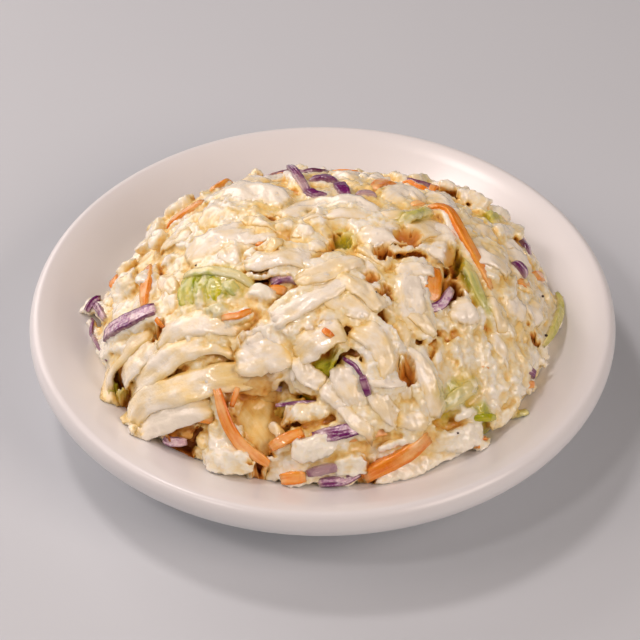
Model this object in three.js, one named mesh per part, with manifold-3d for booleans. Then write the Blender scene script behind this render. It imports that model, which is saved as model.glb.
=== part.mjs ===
// Coleslaw heaped in a round white dish. Millimetres, +Z up, -Y to the front, the dish's foot on z = 0.
import * as THREE from "three";
import { mergeVertices } from "three/addons/utils/BufferGeometryUtils.js";
import Module from "manifold-3d";

const wasm = await Module();
wasm.setup();

// The dish, turned about z.
const dishRadius = 75;
const dishHeight = 25;
const lipHalfWidth = 2.4;
const lipHalfHeight = 3.6;
const wellRadius = 71.4; // where the well reaches the height of the lip
const wellDepth = 17.7;
const wellPower = 2.3;
const wallThickness = 4.2;
const footRadius = 39;
const footWidth = 4.5;
const footRound = 1;
const turnSteps = 48;

// The heap of slaw: a dome whose foot is nearly round and whose crown is 56 above the table.
const heapRadius = 56.6;
const heapLean = { size: 3.8, towards: -69 };
const heapLobes = { size: 2.8, count: 2, towards: 20 };
const heapRise = 34.5;
const heapShoulder = 2.1;
const heapFullness = 0.72;
const footStep = 1;
const swells = [
  { at: [-14, -46], height: -6.5, spread: 8 }, // the hollow at the front left
  { at: [-1, -45], height: -4, spread: 6 },
  { at: [11, -37], height: 3, spread: 8 },
  { at: [-43, -30], height: 3, spread: 9 },
  { at: [-24, -30], height: 2.5, spread: 8 },
  { at: [42, -30], height: -2.5, spread: 9 },
  { at: [-50, 6], height: -5, spread: 9 },
  { at: [-28, 22], height: 4, spread: 11 },
  { at: [26, 34], height: -3.5, spread: 13 },
];
const coreDepth = 2.2; // how far the core lies under the heap's outer form
const coreRings = 9;
const coreSteps = 32;
const dishGap = 0.3;

// The pieces that show, each from one end to the other as places on the heap's plan.
const carrots = [
  { from: [27, 10.5], to: [40.5, -12], width: 3, bow: -2 },
  { from: [24, -13], to: [30, -21.5], width: 4 },
  { from: [13, 14.5], to: [18, 23], width: 3 },
  { from: [-43.5, 2.5], to: [-42.5, -16.5], width: 3.2 },
  { from: [-24, -29.5], to: [-15, -26], width: 2.6 },
  { from: [-26, -39.5], to: [-13, -56], width: 3.4, bow: 2.5, lift: 1.6 },
  { from: [-35, -43], to: [-25, -49], width: 3 },
  { from: [-13, -54], to: [-5, -50], width: 3.4 },
  { from: [10, -56.5], to: [26, -47], width: 3.8, lift: 1.2 },
  { from: [3, -52], to: [14, -50.5], width: 3.6 },
  { from: [48, -30.5], to: [53.5, -25], width: 2.6 },
  { from: [52, 4.5], to: [55, -6], width: 3 },
];
const purples = [
  { from: [-9, 27], to: [-2, 12.5], width: 3.4, lift: 2 },
  { from: [-4, 19], to: [8, 12], width: 3 },
  { from: [-60, 5], to: [-55, -0.5], width: 4, lift: 1 },
  { from: [-53.5, -13.5], to: [-40, -18.5], width: 3.6, lift: 1.4 },
  { from: [-3, -50.5], to: [10, -49], width: 4.6, lift: 1 },
  { from: [-5, -57.5], to: [5, -55], width: 4 },
  { from: [5, -36.5], to: [10, -44], width: 2.8, lift: 0.8 },
  { from: [24, -25], to: [32, -16.5], width: 3 },
  { from: [-12, -45], to: [2, -44.5], width: 2.8 },
  { from: [-13, -24], to: [-5, -17], width: 4 },
  { from: [1, -60.5], to: [10, -58], width: 3.4, lift: 0 },
];
const greens = [
  { from: [-35, -20], to: [-20, -19], width: 5.5, lift: 1 },
  { from: [20, 0], to: [28, 9], width: 4 },
  { from: [32, -7.5], to: [41, -20.5], width: 3.4, bow: 1 },
  { from: [37.5, -9], to: [44, -21], width: 3 },
  { from: [60, 11], to: [56, -14], width: 3, lift: 1.6 },
  { from: [26, -43], to: [40, -36], width: 6 },
  { from: [-54.5, -24], to: [-47.5, -35], width: 4 },
];
const ribs = [
  { from: [-29, -51.5], to: [-17, -55], width: 6, thickness: 5, lift: 0.6 },
  { from: [26, -49], to: [40, -42.5], width: 6.5, thickness: 4.6, lift: 0.8 },
  { from: [-9, -47], to: [3, -47.5], width: 5.4, thickness: 4.4, lift: 1 },
  { from: [-7, -53], to: [2, -53.5], width: 6, thickness: 4.6, lift: 1 },
  { from: [4, -55], to: [11, -54.5], width: 5, thickness: 4, lift: 1 },
  { from: [12, -55.5], to: [27, -50.5], width: 5, thickness: 3.6, lift: 0.2 },
  { from: [12, -51.5], to: [22, -50], width: 4, thickness: 3.6, lift: 0.4 },
];
const leaves = [
  { from: [-21, -33.5], to: [-6, -33], width: 10, lift: 2 },
  { from: [-13, -28], to: [-1, -25.5], width: 8, lift: 1.4 },
  { from: [7, -15], to: [31, -0.5], width: 10, lift: 1.6, bow: -3 },
  { from: [18, -13], to: [20, -27.5], width: 7, lift: 1.4 },
  { from: [-27, 14.5], to: [-9, 12.5], width: 6, lift: 1 },
  { from: [35.5, -6], to: [48.5, 0.5], width: 8, lift: 1 },
  { from: [-20, -12], to: [-8, -10.5], width: 8, lift: 1.2 },
  { from: [-55.5, -24.5], to: [-20, -33], width: 7, lift: 2, bow: -4 },
  { from: [-50, -34.5], to: [-14, -37], width: 8, lift: 2.4, bow: -3 },
  { from: [-6, -33], to: [11, -36], width: 12, lift: 2.2 },
  { from: [1, -19.5], to: [3, -44.5], width: 8, lift: 1.8 },
  { from: [20, -30.5], to: [22, -50], width: 9, lift: 1.6 },
  { from: [24, -33.5], to: [38, -28], width: 8, lift: 1.2 },
];
const thinPiece = { thickness: 2, lift: 0.5, bow: 0, curl: 0, ruffle: 0, across: 1 };
const leafPiece = { thickness: 1.6, curl: -1.2, ruffle: 1.1, across: 2 };
const bendEvery = 9; // the longest straight stretch of a piece
const endSink = 1.8; // how far a piece's ends dip towards the core
const endTaper = 0.35;

// The pieces between those, spread evenly over the dome by the golden angle.
const fillerCount = 68;
const fillerClearance = 5;
const fillerReach = 0.965;
const goldenAngle = 137.508;
const fillerLength = [13, 25];
const fillerWidth = [3, 6.5];
const fillerSeed = 21;

const radians = THREE.MathUtils.degToRad;
const lerp = THREE.MathUtils.lerp;

function makeRandom(seed) {
  let state = seed;
  return () => {
    state = (state * 1103515245 + 12345) % 2147483648;
    return state / 2147483648;
  };
}

function wellHeight(radius) {
  return dishHeight - wellDepth + wellDepth * (radius / wellRadius) ** wellPower;
}

function heapEdge(angle) {
  const lean = heapLean.size * Math.cos(angle - radians(heapLean.towards));
  const lobes = heapLobes.size * Math.cos(heapLobes.count * (angle - radians(heapLobes.towards)));
  return heapRadius + lean + lobes;
}

// The heap's outer form, and outside its edge the well of the dish.
function heapHeight(x, y) {
  const radius = Math.hypot(x, y);
  const edge = heapEdge(Math.atan2(y, x));
  if (radius >= edge) {
    return wellHeight(radius) + footStep;
  }
  const share = radius / edge;
  let swell = 0;
  for (const { at, height, spread } of swells) {
    swell += height * Math.exp(-((x - at[0]) ** 2 + (y - at[1]) ** 2) / (2 * spread * spread));
  }
  const dome = heapRise * (1 - share ** heapShoulder) ** heapFullness;
  return wellHeight(edge) + footStep + dome + swell * (1 - share ** 6);
}

function heapNormal(x, y) {
  const step = 1;
  const slopeX = (heapHeight(x + step, y) - heapHeight(x - step, y)) / (2 * step);
  const slopeY = (heapHeight(x, y + step) - heapHeight(x, y - step)) / (2 * step);
  return new THREE.Vector3(-slopeX, -slopeY, 1).normalize();
}

function solidOf(geometry) {
  geometry.deleteAttribute("normal");
  geometry.deleteAttribute("uv");
  const merged = mergeVertices(geometry, 1e-4);
  return new wasm.Manifold(new wasm.Mesh({
    numProp: 3,
    vertProperties: new Float32Array(merged.attributes.position.array),
    triVerts: new Uint32Array(merged.index.array),
  }));
}

function geometryOf(solid) {
  const mesh = solid.getMesh();
  const geometry = new THREE.BufferGeometry();
  geometry.setAttribute("position", new THREE.BufferAttribute(mesh.vertProperties, 3));
  geometry.setIndex(new THREE.BufferAttribute(mesh.triVerts, 1));
  geometry.computeVertexNormals();
  return geometry;
}

// A profile of [radius, height] pairs turned about z.
function turned(profile) {
  const points = profile.map(([radius, height]) => new THREE.Vector2(radius, height));
  return new THREE.LatheGeometry(points, turnSteps).rotateX(Math.PI / 2);
}

const wellStations = [0, 16, 28, 38, 46, 53, 59, 65, 70];

function dishGeometry() {
  const inside = wellStations.map((radius) => [radius, wellHeight(radius)]);
  const lip = [112, 90, 62, 32, 0, -32, -82].map((degrees) => [
    dishRadius - lipHalfWidth + lipHalfWidth * Math.cos(radians(degrees)),
    dishHeight - lipHalfHeight + lipHalfHeight * Math.sin(radians(degrees)),
  ]);
  const outside = [68, 59, 49, footRadius + 1.2].map((radius) => [radius, underHeight(radius)]);
  const foot = [
    [footRadius, underHeight(footRadius) - footRound],
    [footRadius, footRound],
    [footRadius - footRound, 0],
    [footRadius - footWidth + footRound, 0],
    [footRadius - footWidth, footRound],
    [footRadius - footWidth, underHeight(footRadius - footWidth)],
  ];
  const below = [[22, underHeight(22)], [0, underHeight(0)]];
  return turned([...inside, ...lip, ...outside, ...foot, ...below].reverse());
}

// The outside of the wall, one thickness under the well along the well's normal.
function underHeight(radius) {
  const slope = (wellPower * wellDepth / wellRadius) * (radius / wellRadius) ** (wellPower - 1);
  return wellHeight(radius) - wallThickness * Math.hypot(1, slope);
}

// What lies above the well with a little air: pieces are trimmed to it.
function roomAboveDish() {
  const ceiling = 90;
  const floor = wellStations.map((radius) => [radius, wellHeight(radius) + dishGap]);
  return turned([...floor, [70, ceiling], [0, ceiling]]);
}

function coreGeometry() {
  const profile = [new THREE.Vector2(0, 0), new THREE.Vector2(1, 0)];
  for (let ring = coreRings; ring >= 0; ring -= 1) {
    profile.push(new THREE.Vector2(Math.sin((ring / coreRings) * Math.PI / 2), 1));
  }
  const geometry = new THREE.LatheGeometry(profile, coreSteps).rotateX(Math.PI / 2);
  const places = geometry.attributes.position;
  for (let i = 0; i < places.count; i += 1) {
    const share = Math.hypot(places.getX(i), places.getY(i));
    const angle = Math.atan2(places.getY(i), places.getX(i));
    const radius = share * (heapEdge(angle) - coreDepth);
    const x = radius * Math.cos(angle);
    const y = radius * Math.sin(angle);
    const top = Math.max(heapHeight(x, y) - coreDepth, wellHeight(radius) + footStep);
    places.setXYZ(i, x, y, places.getZ(i) > 0.5 ? top : 0);
  }
  return geometry;
}

// A piece lying on the heap: a box bent along the surface, its ends tapered and dipping towards the core.
function pieceGeometry(settings) {
  const { from, to, width, thickness, lift, bow, curl, ruffle, across } = { ...thinPiece, ...settings };
  const start = new THREE.Vector2(...from);
  const run = new THREE.Vector2(...to).sub(start);
  const sideways = new THREE.Vector2(-run.y, run.x).normalize();
  const spineAt = (share) => {
    const arch = Math.sin(Math.PI * share);
    const place = start.clone().addScaledVector(run, share).addScaledVector(sideways, bow * arch);
    const up = heapNormal(place.x, place.y);
    const dip = endSink * Math.abs(2 * share - 1) ** 3;
    const point = new THREE.Vector3(place.x, place.y, heapHeight(place.x, place.y));
    return point.addScaledVector(up, lift - dip);
  };
  const bends = Math.max(2, Math.ceil(run.length() / bendEvery));
  const geometry = new THREE.BoxGeometry(1, 1, 1, bends, across, 1);
  const places = geometry.attributes.position;
  for (let i = 0; i < places.count; i += 1) {
    const share = places.getX(i) + 0.5;
    const spine = spineAt(share);
    const ahead = spineAt(share + 0.02).sub(spineAt(share - 0.02)).normalize();
    const side = heapNormal(spine.x, spine.y).cross(ahead).normalize();
    const up = ahead.clone().cross(side);
    const offset = places.getY(i);
    const taper = 1 - endTaper * (2 * share - 1) ** 2;
    const wave = curl * (2 * offset) ** 2 + ruffle * Math.sin(7 * share + 5 * offset);
    const point = spine.addScaledVector(side, offset * width * taper);
    point.addScaledVector(up, places.getZ(i) * thickness + wave);
    places.setXYZ(i, point.x, point.y, point.z);
  }
  return geometry;
}

function fillers(placed) {
  const random = makeRandom(fillerSeed);
  const found = [];
  for (let i = 0; i < fillerCount; i += 1) {
    const covered = (i + 0.5) / fillerCount;
    const angle = radians(i * goldenAngle);
    const radius = fillerReach * heapEdge(angle) * Math.sqrt(1 - (1 - covered) ** 1.5);
    const middle = new THREE.Vector2(radius * Math.cos(angle), radius * Math.sin(angle));
    const heading = random() * Math.PI;
    const length = lerp(...fillerLength, random());
    const width = lerp(...fillerWidth, random());
    const steep = heapNormal(middle.x, middle.y).z;
    const half = new THREE.Vector2(Math.cos(heading), Math.sin(heading)).multiplyScalar(length * steep / 2);
    const isClear = placed.every(({ from, to }) => {
      const centre = new THREE.Vector2((from[0] + to[0]) / 2, (from[1] + to[1]) / 2);
      return centre.distanceTo(middle) > fillerClearance;
    });
    if (isClear) {
      const shape = width > 4.6 ? leafPiece : { bow: lerp(-2, 2, random()) };
      const ends = [middle.clone().sub(half), middle.clone().add(half)];
      found.push({ from: ends[0].toArray(), to: ends[1].toArray(), width, ...shape, lift: lerp(-0.2, 1, random()) });
    }
  }
  return found;
}

function heapGeometry() {
  const shown = [
    ...carrots,
    ...purples,
    ...greens,
    ...ribs,
    ...leaves.map((leaf) => ({ ...leafPiece, ...leaf })),
  ];
  const pieces = [...shown, ...fillers(shown)].map((settings) => solidOf(pieceGeometry(settings)));
  const joined = wasm.Manifold.union([solidOf(coreGeometry()), ...pieces]).intersect(solidOf(roomAboveDish()));
  return geometryOf(oneBody(joined));
}

// The largest body, without loose scraps and with shut-in voids filled.
function oneBody(solid) {
  const bodies = solid.decompose();
  return bodies.reduce((best, body) => (body.volume() > best.volume() ? body : best));
}

function named(name, geometry, colour, roughness) {
  const material = new THREE.MeshStandardMaterial({ color: colour, roughness, metalness: 0 });
  const mesh = new THREE.Mesh(geometry, material);
  mesh.name = name;
  return mesh;
}

const coleslawInDish = new THREE.Group();
coleslawInDish.add(named("dish", dishGeometry(), 0xe6ddd5, 0.15));
coleslawInDish.add(named("coleslaw", heapGeometry(), 0xf1e3bf, 0.4));

export default coleslawInDish;
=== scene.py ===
import math
import bmesh
import bpy
import numpy as np
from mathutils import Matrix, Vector, noise
from mathutils.bvhtree import BVHTree


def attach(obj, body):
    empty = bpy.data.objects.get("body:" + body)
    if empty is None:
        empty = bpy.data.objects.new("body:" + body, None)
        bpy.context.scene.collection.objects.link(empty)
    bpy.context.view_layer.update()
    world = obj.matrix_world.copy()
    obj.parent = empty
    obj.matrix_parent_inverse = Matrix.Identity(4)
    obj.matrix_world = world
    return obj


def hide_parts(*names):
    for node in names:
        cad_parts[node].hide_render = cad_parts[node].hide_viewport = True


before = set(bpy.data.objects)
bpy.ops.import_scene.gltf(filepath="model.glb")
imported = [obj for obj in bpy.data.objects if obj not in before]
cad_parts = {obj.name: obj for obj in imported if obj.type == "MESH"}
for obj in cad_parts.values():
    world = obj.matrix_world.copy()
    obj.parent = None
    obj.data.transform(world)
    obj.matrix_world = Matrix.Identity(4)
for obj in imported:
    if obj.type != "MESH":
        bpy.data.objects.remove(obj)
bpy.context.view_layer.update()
mm = 0.001  # the settings below are millimetres, the meshes metres
tiny = 1e-9
draw = np.random.default_rng(41)

# the well of the dish and the heap's outer form, as in the part's source
well = {"rim": 25.0, "depth": 17.7, "radius": 71.4, "power": 2.3}
heap = {
    "edge": 56.6, "leanSize": 3.8, "leanTo": -69, "lobeSize": 2.8, "lobes": 2, "lobesTo": 20,
    "rise": 34.5, "shoulder": 2.1, "fullness": 0.72, "footStep": 1.0, "swellFade": 6,
    "swells": [  # x, y, height, spread
        (-14, -46, -6.5, 8), (-1, -45, -4, 6), (11, -37, 3, 8), (-43, -30, 3, 9), (-24, -30, 2.5, 8),
        (42, -30, -2.5, 9), (-50, 6, -5, 9), (-28, 22, 4, 11), (26, 34, -3.5, 13),
    ],
}


def wellHeight(radius):
    return well["rim"] - well["depth"] + well["depth"] * (radius / well["radius"]) ** well["power"]


def heapEdge(angle):
    lean = heap["leanSize"] * np.cos(angle - math.radians(heap["leanTo"]))
    lobe = heap["lobeSize"] * np.cos(heap["lobes"] * (angle - math.radians(heap["lobesTo"])))
    return heap["edge"] + lean + lobe


def heapHeight(x, y):
    radius = np.hypot(x, y)
    edge = heapEdge(np.arctan2(y, x))
    share = np.clip(radius / edge, 0, 1)
    swell = sum(height * np.exp(-((x - cx) ** 2 + (y - cy) ** 2) / (2 * spread * spread))
                for cx, cy, height, spread in heap["swells"])
    dome = heap["rise"] * (1 - share ** heap["shoulder"]) ** heap["fullness"]
    inside = wellHeight(edge) + heap["footStep"] + dome + swell * (1 - share ** heap["swellFade"])
    return np.where(radius < edge, inside, wellHeight(radius) + heap["footStep"])


def unit(v):
    return v / np.maximum(np.linalg.norm(v, axis=-1, keepdims=True), tiny)


def heapNormal(x, y, step=1.5):
    slopeX = (heapHeight(x + step, y) - heapHeight(x - step, y)) / (2 * step)
    slopeY = (heapHeight(x, y + step) - heapHeight(x, y - step)) / (2 * step)
    return unit(np.stack([-slopeX, -slopeY, np.ones_like(slopeX)], -1))


def arraysOf(bm):  # corners and triangles, and the bmesh is freed
    corners = np.array([v.co[:] for v in bm.verts])
    faces = np.array([[v.index for v in f.verts] for f in bm.faces])
    bm.free()
    return corners, faces


# a unit box with cuts along, across and up, its section drawn in towards a round one
def unitStrip(alongCuts, acrossCuts, upCuts, roundness):
    bm = bmesh.new()
    bmesh.ops.create_cube(bm, size=1)
    for axis, cuts in enumerate((alongCuts, acrossCuts, upCuts)):
        if cuts:
            edges = [e for e in bm.edges if abs(e.verts[0].co[axis] - e.verts[1].co[axis]) > 0.9]
            bmesh.ops.subdivide_edges(bm, edges=edges, cuts=cuts, use_grid_fill=True)
    bmesh.ops.triangulate(bm, faces=bm.faces, quad_method="ALTERNATE")
    bmesh.ops.recalc_face_normals(bm, faces=bm.faces)
    corners, faces = arraysOf(bm)
    section = corners[:, 1:] * 2
    reach = np.maximum(np.linalg.norm(section, axis=1), tiny)
    square = np.abs(section).max(axis=1)
    corners[:, 1:] *= (1 - roundness + roundness * square / reach)[:, None]
    return corners, faces


def tornEdge(share, seed):
    waves = ((0.55, 17, 1), (0.45, 31, 2.3), (0.3, 53, 5.1))  # size, rate, turn
    return sum(size * np.sin(rate * share + turn * seed) for size, rate, turn in waves)


def noiseSum(places, *waves):  # each wave is a size and a rate
    return np.array([sum(size * noise.noise(Vector(p) * rate) for size, rate in waves) for p in places])


rounding = {"spread": 0.11, "ends": 0.12, "offsets": (-1, -0.5, 0, 0.5, 1)}


def alongPath(path, share):  # a path's corners are rounded by averaging nearby shares
    path = np.asarray(path, float)
    steps = np.hypot(*np.diff(path[:, :2], axis=0).T)
    reached = np.concatenate([[0], np.cumsum(steps)]) / max(steps.sum(), tiny)
    spread = 0.0 if len(path) < 3 else rounding["spread"]
    found = np.zeros((len(share), 3))
    for offset in rounding["offsets"]:
        near = share + offset * spread * np.clip(np.minimum(share, 1 - share) / rounding["ends"], 0, 1)
        for axis in range(3):
            inside = np.interp(near, reached, path[:, axis])
            endSlope = (path[-1, axis] - path[-2, axis]) / max(1 - reached[-2], tiny)
            startSlope = (path[1, axis] - path[0, axis]) / max(reached[1], tiny)
            beyond = np.where(near > 1, (near - 1) * endSlope, 0) + np.where(near < 0, near * startSlope, 0)
            found[:, axis] += (inside + beyond) / len(rounding["offsets"])
    return found


# how a piece is formed unless its own settings say otherwise; angles in degrees
plainPiece = {
    "thickness": 1.8, "thinEdge": 0, "taper": 0.3, "sink": 1.0,  # sink: how far the ends dip
    "roll": 0, "twist": 0, "shingle": 0,  # shingle lifts the downhill edge
    "curl": 0, "ruffle": 0, "ridge": 0, "crumple": 0, "ragged": 0, "seed": 0.0,
}
tearing = {"ends": 0.045, "edges": 0.2, "ahead": 0.02}


# a unit shape bent along a path over the heap: each path point is x, y and the lift over the heap's form
def bend(shape, piece):
    corners, faces = shape
    form = {**plainPiece, **piece}
    path = np.asarray(form["path"], float)
    middle = alongPath(path, np.array([0.4, 0.5, 0.6]))
    run = middle[2, :2] - middle[0, :2]
    slope = heapNormal(middle[1:2, 0], middle[1:2, 1])[0, :2]
    leaning = form["shingle"] * float(np.sign(slope @ np.array([-run[1], run[0]])))
    seed, ragged = form["seed"], form["ragged"]

    def spine(share):
        found = alongPath(path, share)
        plan = found[:, :2]
        up = heapNormal(plan[:, 0], plan[:, 1])
        rise = found[:, 2] - form["sink"] * np.abs(2 * share - 1) ** 4
        return np.column_stack([plan, heapHeight(plan[:, 0], plan[:, 1])]) + up * rise[:, None], up

    share = corners[:, 0] + 0.5
    share = share + ragged * tearing["ends"] * tornEdge(corners[:, 1], seed) * np.abs(2 * share - 1) ** 2
    here, up = spine(share)
    ahead = unit(spine(share + tearing["ahead"])[0] - spine(share - tearing["ahead"])[0])
    side = unit(np.cross(up, ahead))
    up = np.cross(ahead, side)
    turn = np.radians(form["roll"] + leaning + form["twist"] * (share - 0.5))[:, None]
    side, up = side * np.cos(turn) + up * np.sin(turn), up * np.cos(turn) - side * np.sin(turn)
    across = corners[:, 1] * 2
    width = 1 - form["taper"] * np.abs(2 * share - 1) ** 2.5
    torn = tearing["edges"] * ragged * tornEdge(share + 3 * np.sign(across), seed)
    width = width * (1 + torn * np.abs(across) ** 3)
    wave = form["curl"] * across ** 2
    wave = wave + form["ruffle"] * np.sin(7 * share + 2.0 * across + seed)
    wave = wave + form["ridge"] * np.cos(math.pi * 2.2 * across + seed + 1.5 * share)
    flat = here + side * (across * width * form["width"] / 2)[:, None]
    if form["crumple"]:
        creases = [0.5 - 2 * abs(noise.noise(Vector(p) * 0.26)) + 0.4 * noise.noise(Vector(p) * 0.7)
                   for p in flat]
        wave = wave + form["crumple"] * np.array(creases)
    thick = form["thickness"] * (1 - form["thinEdge"] * across ** 4)
    return flat + up * (corners[:, 2] * thick + wave)[:, None], faces


# a shape's own coordinates in millimetres, for the fibres
def grainOf(shape, piece):
    steps = np.diff(np.array(piece["path"], float)[:, :2], axis=0)
    thick = piece.get("thickness", plainPiece["thickness"])
    return shape[0] * np.array([np.hypot(*steps.T).sum(), piece["width"], thick])


def joined(parts):
    points, faces, count = [], [], 0
    for corners, triangles in parts:
        points.append(corners)
        faces.append(triangles + count)
        count += len(corners)
    return np.vstack(points), np.vstack(faces)


def linked(thing):
    bpy.context.scene.collection.objects.link(thing)
    return thing


def meshObject(name, points, faces):
    mesh = bpy.data.meshes.new(name)
    mesh.from_pydata((points * mm).tolist(), [], faces.tolist())
    mesh.validate()
    mesh.polygons.foreach_set("use_smooth", [True] * len(mesh.polygons))
    mesh.update()
    return linked(bpy.data.objects.new(name, mesh))


def keepAboveWell(points, air):
    radius = np.hypot(points[:, 0], points[:, 1])
    points[:, 2] = np.maximum(points[:, 2], wellHeight(radius) + air)
    return points


def applied(thing, kind, **settings):
    modifier = thing.modifiers.new(kind.lower(), kind)
    for key, value in settings.items():
        setattr(modifier, key, value)
    with bpy.context.temp_override(object=thing, active_object=thing, selected_objects=[thing]):
        bpy.ops.object.modifier_apply(modifier=modifier.name)


def readArray(items, name, width, kind=float):
    values = np.empty(len(items) * width, dtype=kind)
    items.foreach_get(name, values)
    return values.reshape(-1, width)


def placesOf(mesh):
    return readArray(mesh.vertices, "co", 3) / mm


def normalsOf(mesh):
    return readArray(mesh.vertices, "normal", 3)


def edgePairs(mesh):
    return readArray(mesh.edges, "vertices", 2, np.int64)


def movedTo(mesh, places):
    mesh.vertices.foreach_set("co", (places * mm).ravel())
    mesh.update()


def relaxed(places, pairs, rounds, strength=0.5):
    count = np.maximum(np.bincount(pairs.ravel(), minlength=len(places)), 1)[:, None]
    for _ in range(rounds):
        total = np.empty_like(places)
        for axis in range(3):
            sums = np.bincount(pairs[:, 0], places[pairs[:, 1], axis], len(places))
            total[:, axis] = sums + np.bincount(pairs[:, 1], places[pairs[:, 0], axis], len(places))
        places = places + strength * (total / count - places)
    return places


def outerShell(thing):  # the hollows sealed inside the heap are dropped
    bm = bmesh.new()
    bm.from_mesh(thing.data)
    top = max(bm.verts, key=lambda v: v.co.z)
    seen, edge = {top}, {top}
    while edge:
        edge = {e.other_vert(v) for v in edge for e in v.link_edges} - seen
        seen |= edge
    bmesh.ops.delete(bm, geom=[v for v in bm.verts if v not in seen], context="VERTS")
    bm.to_mesh(thing.data)
    bm.free()


def floatAttribute(mesh, name, values):
    layer = mesh.attributes.new(name, "FLOAT", "POINT")
    layer.data.foreach_set("value", np.asarray(values, dtype=np.float32))


def vectorAttribute(mesh, name, values):
    layer = mesh.attributes.new(name, "FLOAT_VECTOR", "POINT")
    layer.data.foreach_set("vector", np.asarray(values, dtype=np.float32).ravel())


# cuts along, across and up, and roundness
shapes = {
    "leaf": unitStrip(23, 11, 0, 0.0),
    "strip": unitStrip(13, 3, 2, 0.5),
    "chunk": unitStrip(5, 3, 3, 0.3),
}
shredShape = unitStrip(17, 5, 3, 0.22)
print("unit shapes:", *[len(faces) for _, faces in shapes.values()], len(shredShape[1]), "triangles")


def cut(width, *path, **more):  # path points are x, y and lift
    return {"path": list(path), "width": width, **more}


# coloured shreds
carrots = [
    cut(2.7, (26.5, 7, 2.2), (30, 8.5, 2.8), (33, -0.5, 2.6), (37, -7.5, 2.2), (41, -12.5, 1.4), taper=0.55,
        shade=0.25, crumple=0.1, ragged=0.3),
    cut(4.6, (26.5, -14, 0.4), (26, -22, 0.2), thickness=3.2, taper=0.05, shade=0.0),
    cut(3.6, (13, 14.5, 1.2), (15.5, 19.5, 1.4), (18.5, 21, 1.2), shade=0.5),
    cut(2.6, (48.5, -5.5, 0.9), (51.5, -5, 0.9), shade=0.4),
    cut(2.5, (52.5, 1, 0.8), (56.5, 6, 0.8), shade=0.5, taper=0.6),
    cut(3.2, (-43, 0, 1.6), (-42.5, -9, 1.6), (-43, -14.5, 1.5), (-43.5, -17, 1.2), taper=0.5, shade=0.4),
    cut(1.7, (-17.5, -29, 2.4), (-20, -30, 2.4), (-23.5, -30, 2.2), shade=0.2),
    cut(1.2, (-39.5, -24, 1.4), (-38.5, -26, 1.4), thickness=1.2, shade=0.2),
    cut(3, (-25, -42, 2.6), (-24, -45, 1.8), (-22.5, -48.5, 0.8), (-19.5, -52, 0.4), (-13, -55.5, 0.6),
        shade=0.6, taper=0.35),
    cut(1.4, (-20.5, -42, 2.4), (-21.5, -44.5, 1.8), shade=0.5),
    cut(3.1, (-34.5, -44, -0.6), (-27, -46.5, -0.6), thickness=3, taper=0.05, shade=0.1),
    cut(2.9, (-12, -53, 1.2), (-9, -52, 1.4), (-5, -51, 1.2), shade=0.2),
    cut(3.3, (-9.5, -57.5, 0.8), (-4.5, -57.5, 1), shade=0.25),
    cut(3.8, (10, -56.5, 1.4), (14.5, -54.5, 1.8), (19, -52.5, 1.8), (24.5, -49, 1.6), thickness=2.8,
        shade=0.2, taper=0.2),
    cut(2.5, (4.5, -52.5, 0.8), (9, -51.5, 0.8), (16, -50, 0.6), shade=1.0),
    cut(1.8, (0.5, -45.5, 0.4), (4.5, -45.5, 0.4), shade=0.1),
    cut(1.9, (49.5, -29, 0.5), (52, -27, 0.5), shade=0.7, thickness=1.4),
    cut(2.1, (37.5, -47, 0.8), (39.5, -43.5, 0.8), shade=0.5),
    cut(1.5, (27, -41.5, 0.7), (29, -41, 0.7), shade=1.0, thickness=1.2),
    cut(1.4, (38, -31.5, 0.8), (42, -30.5, 0.8), shade=1.0, thickness=1.2),
    cut(1.7, (1.5, -34, 5.6), (3, -35, 5.6), thickness=1.6, taper=0.5, shade=0.0),
    cut(2.5, (-12.5, -23.5, 0.6), (-9, -24, 0.4), shade=0.15),
    cut(2, (-7, -19, 0.9), (-3.5, -19, 1.1), shade=1.0),
    cut(1.3, (-28, -5, 1.6), (-25, -4.5, 1.6), thickness=1.2, shade=0.5),
    cut(1.2, (-16, -10, 1), (-14, -11, 1), thickness=1.2, shade=0.3),
    cut(2.1, (-26.5, -20, 0.9), (-26, -22, 0.9), thickness=1.4, shade=0.3),
    cut(1.5, (22, 7, 1.2), (25.5, 9, 1.2), thickness=1.0, shade=1.0),
]
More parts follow.
